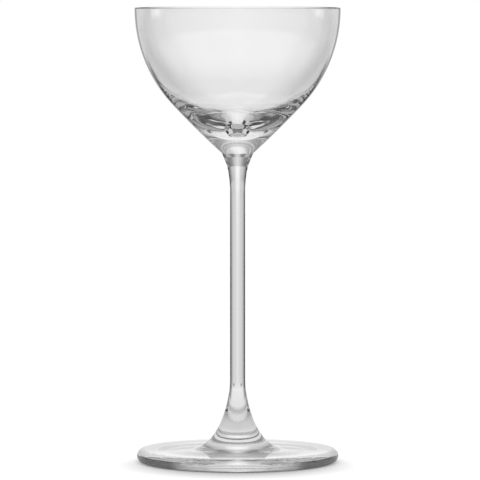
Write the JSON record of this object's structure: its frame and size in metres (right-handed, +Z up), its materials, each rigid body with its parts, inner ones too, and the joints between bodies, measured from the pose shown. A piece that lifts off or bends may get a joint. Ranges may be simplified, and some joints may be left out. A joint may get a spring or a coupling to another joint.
{
  "type": "nick and nora glass",
  "caption": "Clear stemmed cocktail glass: small deep rounded bowl with a thick solid base, slim drawn stem and flat round foot with a trumpet rise, fused in one line.",
  "frame": {"origin": "on the table, under the middle of the foot", "axes": "+Z up along the stem, the axis that the whole glass turns about; X and Y are alike"},
  "size_m": [0.08, 0.08, 0.177],
  "materials": {
    "blown_glass": "clear, blown and fire-polished",
    "drawn_glass": "clear, drawn",
    "spun_glass": "clear, spun flat"
  },
  "bodies": {
    "root": {"bowl": "blown_glass", "stem": "drawn_glass", "foot": "spun_glass"}
  },
  "joints": []
}
